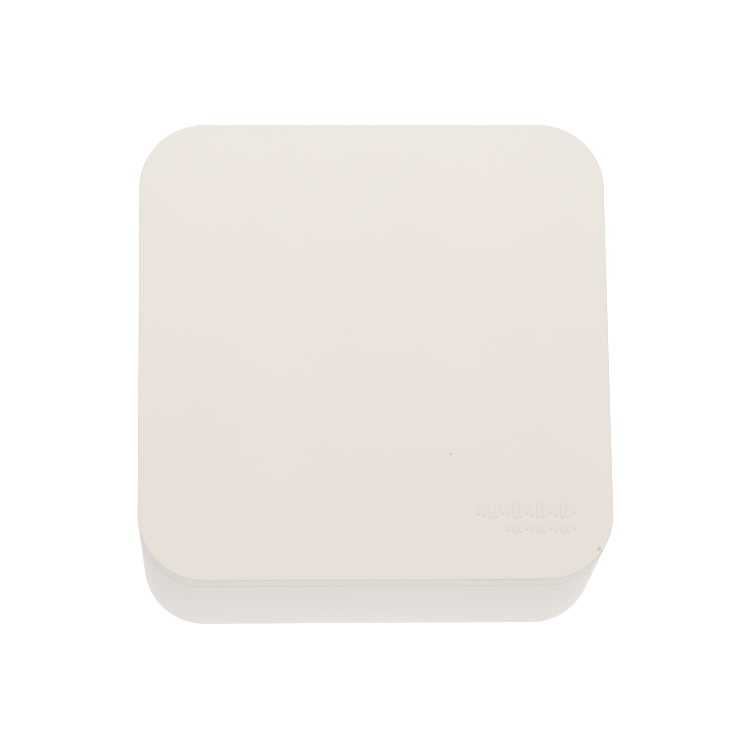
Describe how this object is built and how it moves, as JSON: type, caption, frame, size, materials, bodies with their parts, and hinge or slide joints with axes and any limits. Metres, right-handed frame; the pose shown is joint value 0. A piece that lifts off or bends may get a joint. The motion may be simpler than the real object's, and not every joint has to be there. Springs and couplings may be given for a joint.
{
  "type": "ceiling access point",
  "caption": "Compact square wireless access point: plain soft-cornered cover on a deep housing that twists onto a round ceiling bracket, with a rear cable bay.",
  "frame": {"origin": "centre of the ceiling plane, on the bracket's flat back", "axes": "+Z out of the ceiling through the front cover, so down when installed; -Y towards the edge with the raised pictogram; the lock screw is on +Y"},
  "size_m": [0.1, 0.1, 0.0521],
  "materials": {
    "cover_plastic": "satin moulded plastic, warm white",
    "inner_plastic": "moulded plastic, off white",
    "bracket_plastic": "moulded plastic, light grey",
    "clear_plastic": "clear acrylic",
    "screw_steel": "zinc plated",
    "black_steel": "black oxide",
    "insert_brass": "knurled",
    "foot_rubber": "moulded",
    "label_paper": "printed film, blank",
    "board_laminate": "solder-masked glass laminate",
    "shield_tin": "tin plated",
    "black_plastic": "moulded",
    "gold_plate": "gold plated",
    "ferrite": "sintered",
    "winding_tape": "polyester tape",
    "capacitor_sleeve": "drawn can",
    "sink_aluminium": "extruded, anodised",
    "pad_silicone": "soft",
    "spring_steel": "drawn wire",
    "antenna_metal": "stamped",
    "lead_black": "coaxial jacket",
    "chip_ceramic": "ceramic",
    "button_grey": "moulded",
    "led_yellow": "resin"
  },
  "bodies": {
    "bracket": {"ceiling_bracket": "bracket_plastic"},
    "cover": {"front_cover": "cover_plastic", "light_pipe": "clear_plastic"},
    "lock": {"lock_screw": "black_steel"},
    "reset": {"reset_button": "button_grey", "reset_plunger": "button_grey"},
    "housing": {"antenna_lead_left": "lead_black", "antenna_lead_lower": "lead_black", "antenna_lead_right": "lead_black", "antenna_lead_upper": "lead_black", "antenna_left": "antenna_metal", "antenna_lower": "antenna_metal", "antenna_plugs": "gold_plate", "antenna_right": "antenna_metal", "antenna_upper": "antenna_metal", "bayonet_ring": "inner_plastic", "bayonet_ring_screws": "screw_steel", "board_screws": "screw_steel", "cable_bay": "inner_plastic", "cable_bay_screws": "screw_steel", "dc_jack": "black_plastic", "dc_jack_pin": "gold_plate", "ethernet_contacts": "gold_plate", "ethernet_jack_insert": "black_plastic", "ethernet_jack_shield": "shield_tin", "ethernet_transformer": "black_plastic", "filter_coils": "ferrite", "flash_chip": "black_plastic", "heat_sink": "sink_aluminium", "heat_sink_push_pins": "black_plastic", "heat_sink_springs": "spring_steel", "housing_shell": "cover_plastic", "lock_screw_insert": "insert_brass", "main_board": "board_laminate", "memory_chips": "black_plastic", "poe_transformer_core": "ferrite", "poe_transformer_winding": "winding_tape", "power_capacitors": "capacitor_sleeve", "power_controller_chips": "black_plastic", "power_inductors": "ferrite", "processor": "black_plastic", "radio_chips": "black_plastic", "radio_shield_2g": "shield_tin", "radio_shield_5g": "shield_tin", "rating_label": "label_paper", "reset_switch": "black_plastic", "rubber_feet": "foot_rubber", "small_parts": "chip_ceramic", "status_led": "led_yellow", "thermal_pad": "pad_silicone"}
  },
  "joints": [
    {"name": "twist_off", "type": "hinge", "parent": "bracket", "child": "housing", "pos_m": [0, 0, 0], "axis": [0, 0, 1], "range_deg": [0, 22]},
    {"name": "cover_lift", "type": "slide", "parent": "housing", "child": "cover", "axis": [0, 0, 1], "range_m": [0, 0.04]},
    {"name": "lock_screw_travel", "type": "slide", "parent": "housing", "child": "lock", "axis": [0, -1, 0], "range_m": [0, 0.003]},
    {"name": "reset_press", "type": "slide", "parent": "housing", "child": "reset", "axis": [0, 0, 1], "range_m": [0, 0.00035], "stiffness_N_per_m": 4000}
  ]
}
